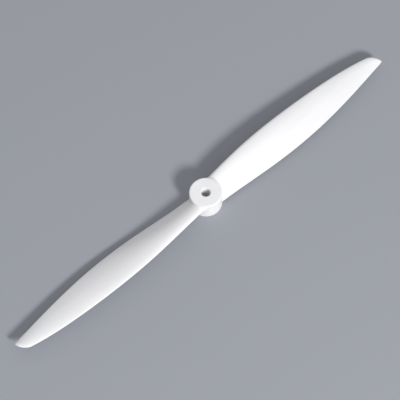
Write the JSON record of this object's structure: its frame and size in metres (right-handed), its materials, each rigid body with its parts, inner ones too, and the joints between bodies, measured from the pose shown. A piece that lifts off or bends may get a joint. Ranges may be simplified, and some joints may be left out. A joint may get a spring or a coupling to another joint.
{
  "type": "two-bladed propeller",
  "caption": "Slim fixed-pitch propeller for a small electric aircraft: drum hub with a plain shaft bore and two twisted tapered blades, moulded in white plastic.",
  "frame": {"origin": "on the shaft axis, at the hub's flat rear face", "axes": "+Z along the shaft, forward, the way the propeller pulls; +X out along blade_1; seen from the front it turns anticlockwise"},
  "size_m": [0.2538, 0.0214, 0.011],
  "materials": {
    "white_nylon": "satin"
  },
  "bodies": {
    "root": {"hub": "white_nylon", "blade_1": "white_nylon", "blade_2": "white_nylon"}
  },
  "joints": []
}
